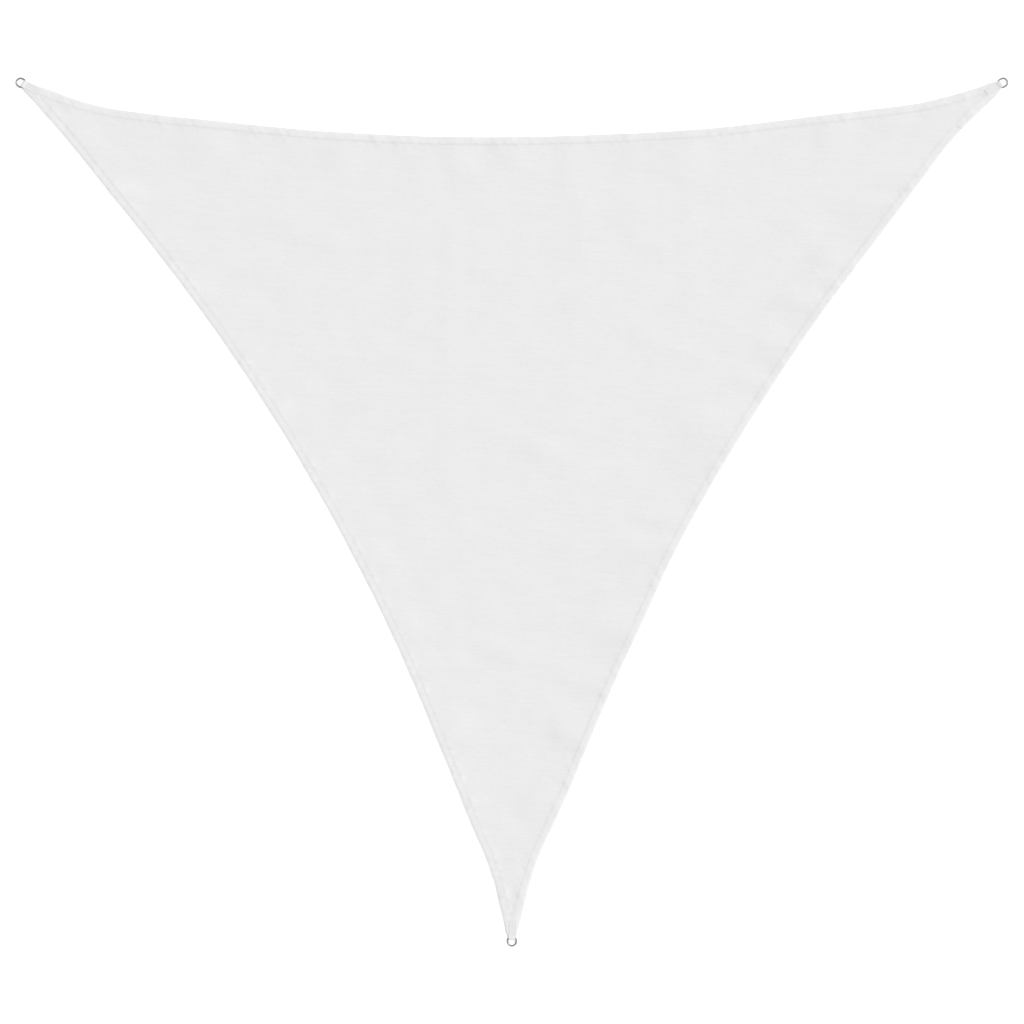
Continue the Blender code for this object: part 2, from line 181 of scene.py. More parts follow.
# Soft creases across the panel, from one end to the other, in mm
#     x from  y from   x to  y to   half width   height
CREASES = (
    (    -80,    305,   325,   145,          60,     2.3),
    (   -930,   1095,  -540,   935,          60,     1.5),
    (   -240,   -425,   270,  -610,          65,     1.9),
    (    870,   1100,  1140,   995,          60,     1.5),
    (    380,    675,   770,   530,          60,     1.6),
    (   -480,    575,  -230,   500,          60,     1.2),
    (    400,   1025,   580,   930,          60,     1.2),
    (   -225,   1290,  -225,   -30,          70,     1.2),
    (    260,   1320,   260,   640,          70,     1.0),
    (    645,   1320,   645,   720,          70,     1.0),
)
CREASE_FADE = 0.25           # share of a crease's length over which each end fades out

# Short ripples that the stitching draws into the hem: wave length and height in mm, how far
# they lean along the side for each mm that they run in, and phase
#    wave  height  lean  phase
RIPPLES = (
    (23.0,  0.15,  0.5,  5.1),
    (34.0,  0.28, -0.8,  1.3),
    (49.0,  0.38,  0.7,  0.4),
    (71.0,  0.52, -0.5,  2.1),
    (112.0, 0.75,  0.4,  4.4),
)
RIPPLE_RAISE = 0.3 * sum(row[1] for row in RIPPLES) * MM   # off the ground, so few are cut short
RIPPLE_FOOT = 0.5 * MM       # how softly a ripple meets the ground
RIPPLE_SWELL = 410 * MM      # the ripples come and go over this length
RIPPLE_STEADY = 0.65         # share of their height that doesn't
RIPPLE_REACH = 58 * MM       # they fade out this far in from the rim
RIPPLE_SHARE = {"top": 1.0, "left": 1.45, "right": 1.15}

# How the rim and the stiff hem lie off the ground
RIM_LIFT = 0.75              # share of the height beside it that the rim is lifted by
HEM_LIFT = {"top": 0.2 * MM, "left": 1.0 * MM, "right": 1.8 * MM}
HEM_LIFT_RISE = 8 * MM       # rim to where that lift is full
HEM_LIFT_START, HEM_LIFT_END = 44 * MM, 160 * MM   # over which it fades out in the panel

# The sewn groove, with shade painted into the cloth's colour along it. Painted shades below are
# shares of the groove's full painted shade, the light lost in it.
SEAM_SHADE = 3.2 * MM        # half width of the groove and of the shade painted along it
SEAM_DEPTH = 0.3 * MM
SEAM_SPREAD = {"left": 0.08, "right": 0.08, "foot": 0.16}   # it lies further in near a corner
SPREAD_START, SPREAD_END = 110 * MM, 260 * MM   # over which that fades, from the bar
SEAM_MEETING = {"left": 76 * MM, "right": 76 * MM, "foot": 89 * MM}   # where two seams meet, from the bar; shade is painted there
# Painted shade where two seams meet: its half width, and its share
MEETING_HALF, MEETING_PAINTED_SHADE = 12 * MM, 0.7
HEM_WHITER = 0.2             # three layers of cloth look whiter than one
WHITER_EASE = 4 * MM         # over which they do, at the rim and at the groove
TACKS = {"top": 1622 * MM, "right": 213 * MM}   # along a side, where the hem is sewn across
TACK_DIP, TACK_HALF, TACK_EASE = 0.5 * MM, 8 * MM, 3 * MM
# Shade painted in that dip, as a share of the groove's
TACK_PAINTED_SHADE = 1.3
PUFF = 0.9 * MM              # of the neck on each side of the webbing sewn over it
PUFF_PLACE, PUFF_HALF = 16 * MM, 6 * MM

# Where the origin lies: the outline box runs from the foot ring's bow to the top rings' bows
HALF_ANGLE_TOP = math.atan2(DROP, SPAN / 2) / 2
FOOT_REACH = RING_ARC_REACH + RING_WIDTH / 2
TOP_REACH = RING_ARC_REACH * math.sin(HALF_ANGLE_TOP) + RING_WIDTH / 2
TOP_Y = (DROP + FOOT_REACH - TOP_REACH) / 2
BARS = {
    "left": np.array((-SPAN / 2, TOP_Y)),
    "right": np.array((SPAN / 2, TOP_Y)),
    "foot": np.array((0, TOP_Y - DROP)),
}


def unit(vector):
    return vector / np.linalg.norm(vector, axis=-1, keepdims=True)


def corner_axis(corner):
    """From a ring bar into the sail, half way between its two sides."""
    return unit(sum(unit(BARS[name] - BARS[corner]) for name in BARS if name != corner))


AXES = {corner: corner_axis(corner) for corner in BARS}


def ease(share):
    """A soft step from 0 to 1."""
    share = np.clip(share, 0, 1)
    return share * share * (3 - 2 * share)


def mound(offset, half_width):
    """A soft hump, 1 in the middle and 0 from half_width on."""
    return np.where(abs(offset) < half_width, np.cos(np.pi / 2 * offset / half_width) ** 2, 0)


def blend(low, high, share):
    """Points part of the way between two rows of points."""
    return low + (high - low) * np.asarray(share)[..., None]


class Side:
    """A drawn-in side of the sail. Places along it are measured on its chord."""

    def __init__(self, name):
        self.corners = SIDE_ENDS[name]
        self.start, end = (BARS[corner] for corner in self.corners)
        self.length = np.linalg.norm(end - self.start)
        self.chord = unit(end - self.start)
        inward = np.array((-self.chord[1], self.chord[0]))
        middle = sum(BARS.values()) / 3
        self.inward = inward * np.sign(inward @ (middle - self.start))
        rows = [(row[0] * self.length, row[COLUMN[name]] * MM) for row in DRAW_IN]
        rows = [self.neck_corner(0)] + rows + [self.neck_corner(1)]
        self.reach, self.depth = np.array(rows).T
        self.slope = np.gradient(self.depth, self.reach)

    def on_chord(self, points):
        """Places along the chord, and depths inside it."""
        offset = points - self.start
        return offset @ self.chord, offset @ self.inward

    def within(self, points):
        """Places along the chord, and insets from the rim."""
        along, depth = self.on_chord(points)
        return along, depth - self.draw_in(along)

    def clear_of_corners(self, along):
        """0 at either corner, 1 from LIFT_END on."""
        return ease(along / LIFT_END) * ease((self.length - along) / LIFT_END)

    def neck_corner(self, end):
        """This side's corner of the neck's cut end."""
        corner = self.corners[end]
        outward = np.array((-AXES[corner][1], AXES[corner][0]))
        outward *= -np.sign(outward @ self.inward)
        return self.on_chord(BARS[corner] + AXES[corner] * NECK_END
                             + outward * NECK_END_WIDTH / 2)

    def draw_in(self, along):
        """Depth of the rim inside the chord: a smooth curve through the rows."""
        row = np.clip(np.searchsorted(self.reach, along) - 1, 0, len(self.reach) - 2)
        step = self.reach[row + 1] - self.reach[row]
        t = (along - self.reach[row]) / step
        rise = self.depth[row + 1] - self.depth[row]
        low, high = self.slope[row] * step, self.slope[row + 1] * step
        return self.depth[row] + t * (low + t * (3 * rise - 2 * low - high
                                                 + t * (low + high - 2 * rise)))

    def rim(self, along):
        along = np.asarray(along, float)
        return (self.start + self.chord * along[..., None]
                + self.inward * self.draw_in(along)[..., None])

    def into_panel(self, along):
        """Unit vectors square to the rim, into the cloth."""
        along = np.asarray(along, float)
        run = unit(self.rim(along + MM) - self.rim(along - MM))
        square = np.stack((-run[..., 1], run[..., 0]), axis=-1)
        return square * np.sign(square @ self.inward)[..., None]

    def edge_start(self, end):
        """Along the chord, where the edge strip parts from the next side's at either end."""
        return self.length - EDGE_START if end else EDGE_START

    def neck_limit(self, end):
        """Along the chord, the neck's cut end."""
        return self.reach[-1] if end else self.reach[0]

    def edge(self, share):
        """The rim and the inner line of the edge strip, at shares of its run."""
        along = self.edge_start(0) + (self.edge_start(1) - self.edge_start(0)) * share
        rim = self.rim(along)
        inner = rim + self.into_panel(along) * EDGE_WIDTH
        for end in (0, 1):
            limit = self.edge_start(end)
            plain = self.rim(limit) + self.into_panel(limit) * EDGE_WIDTH
            fade = 1 - ease(abs(along - limit) / EDGE_EASE)
            inner = inner + (parting(self.corners[end]) - plain) * fade[..., None]
        return rim, inner

    def neck(self, end, share):
        """The rim and the neck's middle, at shares of the way from the parting to the ring."""
        along = self.edge_start(end) + (self.neck_limit(end) - self.edge_start(end)) * share
        return self.rim(along), neck_middle(self.corners[end], share)


def sides_at(corner):
    """The two sides that meet at a corner, each with the end that lies there."""
    return [(side, side.corners.index(corner)) for side in SIDES.values()
            if corner in side.corners]


def neck_middle(corner, share):
    """The middle of the neck, at shares of the way from the parting to the ring."""
    rims = []
    for side, end in sides_at(corner):
        start = side.edge_start(end)
        rims.append(side.rim(start + (side.neck_limit(end) - start) * share))
    return (rims[0] + rims[1]) / 2


def parting(corner):
    """Where the edge strips of two sides meet."""
    return neck_middle(corner, np.float64(0))


def ground_clearance(points):
    """Height of the cloth's underside over the ground, apart from the turn of the rim."""
    lift = np.zeros(len(points))
    for name, share, run_up, run_down, crest, reach, lean, height in SEAM_SWELLS:
        side = SIDES[name]
        along, inset = side.within(points)
        past_crest = along - share * side.length - lean * inset
        length = np.where(past_crest < 0, run_up, run_down) * MM
        crest = crest * MM
        across = np.where(inset < crest, RIM_LIFT + (1 - RIM_LIFT) * ease(inset / crest),
                          mound(inset - crest, reach * MM))
        lift += height * MM * mound(past_crest / length, 1) * across
    for x_from, y_from, x_to, y_to, half_width, height in CREASES:
        start = np.array((x_from, y_from)) * MM
        run = np.array((x_to, y_to)) * MM - start
        along = (points - start) @ run / (run @ run)
        aside = np.linalg.norm(points - start - np.outer(along, run), axis=1)
        ends = ease(np.minimum(along, 1 - along) / CREASE_FADE)
        lift += height * MM * mound(aside, half_width * MM) * ends
    for name, side in SIDES.items():
        along, inset = side.within(points)
        past_hem = (inset - HEM_LIFT_START) / (HEM_LIFT_END - HEM_LIFT_START)
        raised = RIM_LIFT + (1 - RIM_LIFT) * ease(inset / HEM_LIFT_RISE)
        raised *= (1 - ease(past_hem)) * side.clear_of_corners(along)
        lift += HEM_LIFT[name] * raised
        fade = mound(np.maximum(inset - SEAM_INSET, 0), RIPPLE_REACH - SEAM_INSET)
        fade *= RIPPLE_SHARE[name] * side.clear_of_corners(along)
        swell = RIPPLE_STEADY + (1 - RIPPLE_STEADY) * np.sin(2 * np.pi * along / RIPPLE_SWELL)
        waves = sum(height * MM * np.sin(2 * np.pi * (along + lean * inset) / (wave * MM) + phase)
                    for wave, height, lean, phase in RIPPLES)
        waves += RIPPLE_RAISE
        lift += fade * swell * (waves + np.hypot(waves, RIPPLE_FOOT)) / 2
    for corner, bar in BARS.items():
        near = np.linalg.norm(points - bar, axis=1) < LIFT_END
        past_tail = (points - bar) @ AXES[corner] - TAIL_END
        share = ease(past_tail / (LIFT_END - TAIL_END))
        lift = np.where(near, NECK_LIFT + (lift - NECK_LIFT) * share, lift)
    return lift


def underside(points, inset):
    """Points on the cloth's underside, that far in from the rim."""
    under = np.interp(inset, EDGE_SECTION[:, 0], EDGE_SECTION[:, 1])
    return np.column_stack((points, ground_clearance(points) + under))


def face(points, inset):
    """The same on its face. Under the webbing the doubled neck is a little thicker."""
    top = np.interp(inset, EDGE_SECTION[:, 0], EDGE_SECTION[:, 2])
    for corner, bar in BARS.items():
        past_tail = np.linalg.norm(points - bar, axis=1) - TAIL_END
        aside = abs((points - bar) @ (-AXES[corner][1], AXES[corner][0]))
        share = (1 - ease(past_tail / NECK_FADE)) * ease(inset / NECK_RISE)
        top = top + (NECK_THICK - top + PUFF * mound(aside - PUFF_PLACE, PUFF_HALF)) * share
    top = top - TACK_DIP * tack_share(points)
    top = top + SEAM_DEPTH * (1 - seam_pull(points)) * groove(inset)
    return np.column_stack((points, ground_clearance(points) + top))


def groove(inset):
    """1 in the sewn groove, 0 away from it."""
    return np.exp(-((inset - SEAM_INSET) / SEAM_SHADE) ** 2 / 2)


def seam_pull(points):
    """How hard the nearest side's seam pulls there, as a share of the usual."""
    pull, nearest = np.ones(len(points)), np.full(len(points), np.inf)
    for name, side in SIDES.items():
        along, inset = side.within(points)
        here = np.interp(along / side.length, SEAM_PULL[:, 0], SEAM_PULL[:, COLUMN[name]])
        waver = np.sin(2 * np.pi * along / PULL_PITCH)
        waver *= np.sin(2 * np.pi * along / RIPPLE_SWELL + PULL_PHASE)
        pull = np.where(abs(inset) < nearest, here * (1 + PULL_WAVER * waver), pull)
        nearest = np.minimum(nearest, abs(inset))
    return pull


def seam_spread(rims):
    """How many times its usual inset the seam has, opposite places on the rim."""
    spread = np.ones(len(rims))
    for corner, bar in BARS.items():
        away = (np.linalg.norm(rims - bar, axis=1) - SPREAD_START) / (SPREAD_END - SPREAD_START)
        spread += SEAM_SPREAD[corner] * (1 - ease(away))
    return spread


def tack_share(points):
    """1 on the lines where the hem is sewn across, 0 away from them."""
    share = np.zeros(len(points))
    for name, place in TACKS.items():
        along, inset = SIDES[name].within(points)
        share += mound(along - place, TACK_HALF) * ease((SEAM_INSET - inset) / TACK_EASE)
    return share


def lay(verts, points, inset, notes):
    """Put vertices on the cloth's underside, with its thickness, the shade painted along the seams
    and the hem's whiter tone there.
    """
    thickness, shade = notes
    places = underside(points, inset)
    depths = face(points, inset)[:, 2] - places[:, 2]
    # Painted shade in the sewn groove, in the tacks' dips and where two seams meet; the hem's
    # three layers are a little whiter
    shades = np.maximum(seam_pull(points) * groove(inset), TACK_PAINTED_SHADE * tack_share(points))
    shades -= HEM_WHITER * ease(inset / WHITER_EASE) * ease((SEAM_INSET - inset) / WHITER_EASE)
    for corner, bar in BARS.items():
        meeting = bar + AXES[corner] * SEAM_MEETING[corner]
        away = np.linalg.norm(points - meeting, axis=1)
        shades += MEETING_PAINTED_SHADE * mound(away, MEETING_HALF)
    for vert, place, depth, dark in zip(verts, places, depths, shades):
        vert.co = place
        vert[thickness] = depth
        vert[shade] = dark


def lay_panel(mesh, notes):
    """The panel inside the edge strips: a triangle in even rows, drawn in to their lines."""
    partings = {name: parting(name) for name in BARS}
    corners = [mesh.verts.new(place) for place in ((0, 0, 0), (1, 0, 0), (0, 1, 0))]
    mesh.faces.new(corners)
    bmesh.ops.subdivide_edges(mesh, edges=mesh.edges[:], cuts=PANEL_ROWS - 1,
                              use_grid_fill=True)
    rim = [edge for edge in mesh.edges if edge.is_boundary]
    bmesh.ops.subdivide_edges(mesh, edges=rim, cuts=EDGE_STEPS_A_ROW - 1)
    bmesh.ops.triangulate(mesh, faces=[cell for cell in mesh.faces if len(cell.verts) > 3])
    flat = np.array([vert.co for vert in mesh.verts])
    share = {"right": flat[:, 0], "foot": flat[:, 1], "left": 1 - flat[:, 0] - flat[:, 1]}
    points = sum(np.outer(share[name], partings[name]) for name in BARS)
    for side in SIDES.values():
        first, last = side.corners
        lean = share[last] - share[first]
        weight = 4 * share[first] * share[last]
        inner = side.edge((1 + lean) / 2)[1]
        straight = blend(partings[first], partings[last], (1 + lean) / 2)
        pull = np.where(weight > TINY, weight / np.maximum(1 - lean * lean, TINY), 0)
        points = points + (inner - straight) * pull[:, None]
    lay(mesh.verts, points, np.full(len(points), EDGE_WIDTH), notes)


def strip(mesh, steps):
    """A flat grid over the edge's section: its vertices, shares along and shares across."""
    columns = len(EDGE_SECTION) - 1
    verts = bmesh.ops.create_grid(mesh, x_segments=steps, y_segments=columns, size=0.5)["verts"]
    flat = np.array([vert.co for vert in verts]) + 0.5
    column = np.rint(flat[:, 1] * columns).astype(int)
    return verts, np.rint(flat[:, 0] * steps) / steps, EDGE_SECTION[column, 0] / EDGE_WIDTH


def lay_strip(verts, outer, inner, across, notes):
    """A strip between the rim and its inner line, the sewn groove at its place between them."""
    inset = across * np.linalg.norm(inner - outer, axis=1) / seam_spread(outer)
    lay(verts, blend(outer, inner, across), inset, notes)


def build_cloth():
    """Panel, edge strips and necks laid as one skin, then given the cloth's thickness."""
    mesh = bmesh.new()
    notes = [mesh.verts.layers.float.new(name) for name in ("thickness", "painted_shade_and_tone")]
    lay_panel(mesh, notes)
    for side in SIDES.values():
        verts, along, across = strip(mesh, PANEL_ROWS * EDGE_STEPS_A_ROW)
        lay_strip(verts, *side.edge(along), across, notes)
        for end in (0, 1):
            verts, along, across = strip(mesh, NECK_ROWS)
            lay_strip(verts, *side.neck(end, along), across, notes)
    bmesh.ops.remove_doubles(mesh, verts=mesh.verts[:], dist=WELD)
    laid = set(mesh.verts)
    bmesh.ops.extrude_face_region(mesh, geom=mesh.faces[:])
    thickness = notes[0]
    for vert in mesh.verts:
        if vert not in laid:
            vert.co.z += vert[thickness]
    bmesh.ops.recalc_face_normals(mesh, faces=mesh.faces[:])
    mesh.verts.layers.float.remove(thickness)
    return place_mesh("sail_sheet", mesh)


def place_mesh(name, mesh, sharp=SHARP):
    """A finished piece in the scene, smooth but for its sharp edges."""
    data = bpy.data.meshes.new(name)
    mesh.to_mesh(data)
    mesh.free()
    data.shade_smooth()
    data.set_sharp_from_angle(angle=math.radians(sharp))
    piece = bpy.data.objects.new(name, data)
    bpy.context.scene.collection.objects.link(piece)
    return piece


class Finish:
    """A material's node tree, built a node at a time."""

    def __init__(self, name):
        self.material = bpy.data.materials.new(name)
        self.material.use_nodes = True
        self.tree = self.material.node_tree
        self.shader = self.tree.nodes["Principled BSDF"]

    def node(self, kind, settings=None, output=0, **inputs):
        """One output of a node, given its settings, and its inputs by name or by i and number."""
        node = self.tree.nodes.new("ShaderNode" + kind)
        for key, value in (settings or {}).items():
            setattr(node, key, value)
        for key, value in inputs.items():
            key = int(key[1:]) if key[0] == "i" and key[1:].isdigit() else key.replace("_", " ")
            self.set(node.inputs[key], value)
        return node.outputs[output]

    def set(self, socket, value):
        if isinstance(value, bpy.types.NodeSocket):
            self.tree.links.new(value, socket)
        else:
            socket.default_value = value

    def place(self):
        """Places on the piece, in metres."""
        return self.node("TexCoord", None, "Object")

    def parts(self, vector):
        """X and Y of a vector."""
        return [self.node("SeparateXYZ", None, axis, Vector=vector) for axis in "XY"]

    def noted(self, name):
        """A value that the mesh's points carry."""
        return self.node("Attribute", {"attribute_name": name}, "Fac")

    def maths(self, operation, first, second=0.0):
        return self.node("Math", {"operation": operation}, i0=first, i1=second)

    def product(self, *values):
        total = values[0]
        for value in values[1:]:
            total = self.maths("MULTIPLY", total, value)
        return total

    def size_of_wave(self, wave, angle):
        """How far a sine or cosine of an angle is from 0."""
        return self.maths("ABSOLUTE", self.maths(wave, angle))

    def spread(self, value, low, high):
        """A value from 0 to 1 taken to low and high, and beyond them past 0 and 1."""
        return self.node("MapRange", {"clamp": False}, Value=value, To_Min=low, To_Max=high)

    def streaks(self, place, scale, roughness, turn=0.0):
        """Long patches of flat noise, with so many to the metre along X and along Y."""
        stretched = self.node("Mapping", None, Vector=place, Rotation=(0, 0, turn),
                              Scale=(*scale, 1.0))
        return self.node("TexNoise", {"noise_dimensions": "2D"}, Vector=stretched, Scale=1.0,
                         Detail=2.0, Roughness=roughness)

    def grey(self, tone):
        return self.node("CombineColor", None, i0=tone, i1=tone, i2=tone)

    def finish(self, **inputs):
        for key, value in inputs.items():
            self.set(self.shader.inputs[key.replace("_", " ")], value)
        return self.material


# The cloth is a warp knit of flat white tape: rows of tape lie across the sail, and fine
# chains of loops run from top to bottom and leave pin holes between the rows.
ROW_PITCH = 2.6 * MM
CHAIN_PITCH = 3.4 * MM
KNIT_WANDER = 2.5 * MM       # how far rows and chains wander from straight
WANDERS_A_METRE = 14.0
KNIT_CROWN = 0.5             # power that gives a row of tape its rounded back
CHAIN_CROWN = 6.0            # power that keeps a chain of loops narrow
CHAIN_PROUD = 1.15           # height of a loop against the tape's
KNIT_HEIGHT = 0.35 * MM
HOLE_PAINTED_SHADE = 0.86             # painted shade in the pin holes beside the tape, as a tone
HOLE_ROUGHNESS, KNIT_ROUGHNESS = 0.92, 0.72
CLOTH_WHITE = 0.745
SEAM_PAINTED_SHADE = 0.045            # painted shade: light taken from the cloth's colour in the sewn groove

# Uneven tone along the rows and down the chains: how many patches to the metre along X and
# along Y, and their tones
ROW_STREAKS, ROW_STREAK_TONE = (55.0, 190.0), (0.972, 1.028)
CHAIN_STREAKS, CHAIN_STREAK_TONE = (130.0, 32.0), (0.988, 1.012)
CLOUDS, CLOUD_TONE = 9.0, (0.976, 1.024)

CRUMPLE_LENGTH, CRUMPLE_WIDTH = 130 * MM, 24 * MM   # faint wrinkles from having been folded
CRUMPLE_HEIGHT = 1.4 * MM
CRUMPLE_TILT = math.radians(9)


def knit_finish():
    made = Finish("sun_cloth_knit")
    place = made.place()
    drift = made.node("TexNoise", {"noise_dimensions": "2D"}, Vector=place, Scale=WANDERS_A_METRE,
                      Detail=2.0)
    across, down = made.parts(place)
    wander = made.spread(drift, -KNIT_WANDER, KNIT_WANDER)
    row = made.product(made.maths("ADD", down, wander), math.pi / ROW_PITCH)
    chain = made.product(made.maths("ADD", across, wander), math.pi / CHAIN_PITCH)
    tape = made.maths("POWER", made.size_of_wave("SINE", row), KNIT_CROWN)
    loop = made.maths("POWER", made.size_of_wave("COSINE", chain), CHAIN_CROWN)
    loop = made.product(loop, made.size_of_wave("COSINE", row), CHAIN_PROUD)
    height = made.maths("MAXIMUM", tape, loop)
    streak = made.streaks(place, ROW_STREAKS, 0.6)
    upright = made.streaks(place, CHAIN_STREAKS, 0.6)
    cloud = made.node("TexNoise", {"noise_dimensions": "2D"}, Vector=place, Scale=CLOUDS,
                      Detail=3.0)
    # Tone: the cloth's streaks and clouds, with shade painted into the pin holes and along the
    # seams
    tone = made.product(made.spread(streak, *ROW_STREAK_TONE), made.spread(cloud, *CLOUD_TONE),
                        made.spread(upright, *CHAIN_STREAK_TONE),
                        made.spread(height, HOLE_PAINTED_SHADE, 1.0),
                        made.spread(made.noted("painted_shade_and_tone"), 1.0, 1.0 - SEAM_PAINTED_SHADE), CLOTH_WHITE)
    crumple = made.streaks(place, (1 / CRUMPLE_LENGTH, 1 / CRUMPLE_WIDTH), 0.55, CRUMPLE_TILT)
    creased = made.node("Bump", None, Strength=1.0, Distance=CRUMPLE_HEIGHT, Height=crumple)
    bump = made.node("Bump", None, Strength=0.55, Distance=KNIT_HEIGHT, Height=height,
                     Normal=creased)
    rough = made.spread(height, HOLE_ROUGHNESS, KNIT_ROUGHNESS)
    return made.finish(Base_Color=made.grey(tone), Roughness=rough, Normal=bump)


SIDES = {name: Side(name) for name in SIDE_ENDS}

cloth = build_cloth()
cloth.data.materials.append(knit_finish())
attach(cloth, "root")
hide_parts("sail_cloth")


# Hem thread. One row of lock stitches in white polyester thread holds the turned hem down all
# round, seen on the face and, pulled flat into the cloth, underneath. It starts and ends on the
# top side, sewn over itself. The hem is sewn across there and once beside the right corner.

STITCH_PITCH = 4.0 * MM
STITCH_FILL = 0.9            # share of its pitch that a stitch fills
THREAD = 0.55 * MM
THREAD_FLAT = 0.85           # height of a sewn thread, as a share of its width
FACE_PROUD, UNDER_PROUD = 0.3, 0.02   # how far its middle is off the cloth, in widths
ROW_POINTS = 560
THREAD_WHITE = 0.70
PLY_LENGTH = 3.2 * MM
PLY_HEIGHT = 0.06 * MM
PLY_PAINTED_SHADE = 0.93              # painted shade between two plies, as a tone


def seam_row(side, inset, lowest, highest):
    """Places along the hem at one inset, between two distances along the side."""
    along = np.linspace(lowest, highest, ROW_POINTS)
    share = (along - side.edge_start(0)) / (side.edge_start(1) - side.edge_start(0))
    rims, inners = side.edge(np.clip(share, 0, 1))
    for end, past in ((0, share < 0), (1, share > 1)):
        start, limit = side.edge_start(end), side.neck_limit(end)
        rim, middle = side.neck(end, (along - start) / (limit - start))
        rims = np.where(past[:, None], rim, rims)
        inners = np.where(past[:, None], middle, inners)
    width = np.linalg.norm(inners - rims, axis=1)
    inset = inset * seam_spread(rims)
    kept = width > inset
    return blend(rims, inners, inset / width)[kept]


def stitch(pitch, thread):
    """One stitch, lying along X from the origin: a grain of thread with its ends let in."""
    mesh = bmesh.new()
    bmesh.ops.create_uvsphere(mesh, u_segments=6, v_segments=4, radius=0.5)
    bmesh.ops.rotate(mesh, verts=mesh.verts, matrix=Matrix.Rotation(math.pi / 2, 3, "Y"))
    bmesh.ops.scale(mesh, verts=mesh.verts,
                    vec=(STITCH_FILL * pitch, thread, THREAD_FLAT * thread))
    bmesh.ops.translate(mesh, verts=mesh.verts, vec=(pitch / 2, 0, 0))
    return place_mesh("stitch", mesh)


def line_through(name, points):
    """A curve in the scene that runs from each point to the next."""
    curve = bpy.data.curves.new(name, "CURVE")
    curve.dimensions = "3D"
    line = curve.splines.new("POLY")
    line.points.add(len(points) - 1)
    line.points.foreach_set("co", np.column_stack((points, np.ones(len(points)))).ravel())
    guide = bpy.data.objects.new(name, curve)
    bpy.context.scene.collection.objects.link(guide)
    return guide


def take_up(mesh, item):
    """Add to a mesh what an object's curve or modifiers make, and remove the object."""
    graph = bpy.context.evaluated_depsgraph_get()
    data = bpy.data.meshes.new_from_object(item.evaluated_get(graph))
    mesh.from_mesh(data)
    bpy.data.meshes.remove(data)
    bpy.data.objects.remove(item)


def sew(name, rows, pitch, thread):
    """Stitches laid end to end along rows of places, as one piece."""
    sewn = bmesh.new()
    for row in rows:
        guide = line_through("run", row)
        guide.data.twist_mode = "Z_UP"
        single = stitch(pitch, thread)
        repeat = single.modifiers.new("repeat", "ARRAY")
        repeat.use_relative_offset, repeat.use_constant_offset = False, True
        repeat.constant_offset_displace = (pitch, 0, 0)
        repeat.count = int(np.linalg.norm(np.diff(row, axis=0), axis=1).sum() / pitch)
        follow = single.modifiers.new("follow", "CURVE")
        follow.object = guide
        take_up(sewn, single)
        bpy.data.objects.remove(guide)
    return place_mesh(name, sewn)


def thread_finish():
    made = Finish("white_thread")
    ply = made.node("TexWave", {"wave_type": "BANDS", "bands_direction": "DIAGONAL"},
                    Vector=made.place(), Scale=1 / PLY_LENGTH)
    # Painted shade between the plies
    tone = made.product(made.spread(ply, PLY_PAINTED_SHADE, 1.0), THREAD_WHITE)
    bump = made.node("Bump", None, Strength=0.4, Distance=PLY_HEIGHT, Height=ply)
    return made.finish(Base_Color=made.grey(tone), Roughness=0.55, Sheen_Weight=0.1, Normal=bump)


JOIN_LENGTH = 92 * MM        # of the hem sewn twice, from the join on
JOIN_INSET = 25 * MM
TACK_INSETS = (3.0 * MM, 25.5 * MM)
TACK_POINTS = 12

face_rows, under_rows = [], []
for side in SIDES.values():
    row = seam_row(side, SEAM_INSET, side.reach[0], side.reach[-1])
    seam = np.full(len(row), SEAM_INSET)
    face_rows.append(face(row, seam))
    under_rows.append(underside(row, seam) - (0, 0, UNDER_PROUD * THREAD))
row = seam_row(SIDES["top"], JOIN_INSET, TACKS["top"], TACKS["top"] + JOIN_LENGTH)
face_rows.append(face(row, np.full(len(row), JOIN_INSET)))
tack = np.linspace(*TACK_INSETS, TACK_POINTS)
for name, place in TACKS.items():
    side = SIDES[name]
    row = side.rim(place) + np.outer(tack, side.into_panel(place))
    face_rows.append(face(row, tack))
face_rows = [row + (0, 0, FACE_PROUD * THREAD) for row in face_rows]

white_thread = thread_finish()
hem_thread = sew("hem_thread", face_rows, STITCH_PITCH, THREAD)
hem_thread_under = sew("hem_thread_under", under_rows, STITCH_PITCH, THREAD)
for piece in (hem_thread, hem_thread_under):
    piece.data.materials.append(white_thread)
    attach(piece, "root")


# Corner loops. 25 mm white polyester webbing, folded round the ring's bar with one tail on
# each face of the neck, and cut with a hot knife so that its ends don't fray.

TAPE_WIDTH = 24 * MM
TAPE_THICK = 1.3 * MM
TAIL_LENGTH = 64 * MM
TAPE_SETTLE = 16 * MM        # length over which the upper tail comes down to the neck
GAP = 0.3 * MM
WIRE = 6 * MM
BAR_HEIGHT = TAPE_THICK + GAP + WIRE / 2
SEWN_DOWN = 0.25 * MM        # the upper tail is drawn down on to the neck
TAPE_TOP = NECK_LIFT + NECK_THICK + GAP + TAPE_THICK - SEWN_DOWN
TAPE_COLUMNS = 20
LOWER_STEPS, TURN_STEPS, UPPER_STEPS = 16, 24, 48
LOWER_END, UPPER_START = 4 * MM, 1.5 * MM   # of the tails, beside the turn round the bar
TAPE_EDGE, TAPE_EDGE_STEPS = 0.5 * MM, 3    # rounding of its edges

# Rows that hold the tails: two along the edges, one down the middle, and one across each end
LONG_ROWS = (-10 * MM, 0.0, 10 * MM)
CROSS_ROWS = (14 * MM, 61 * MM)
ROW_GROOVE, ROW_HALF = 0.25 * MM, 1.8 * MM
ROW_PAINTED_SHADE = 0.05              # painted shade: light taken from the tape's colour in a row's groove

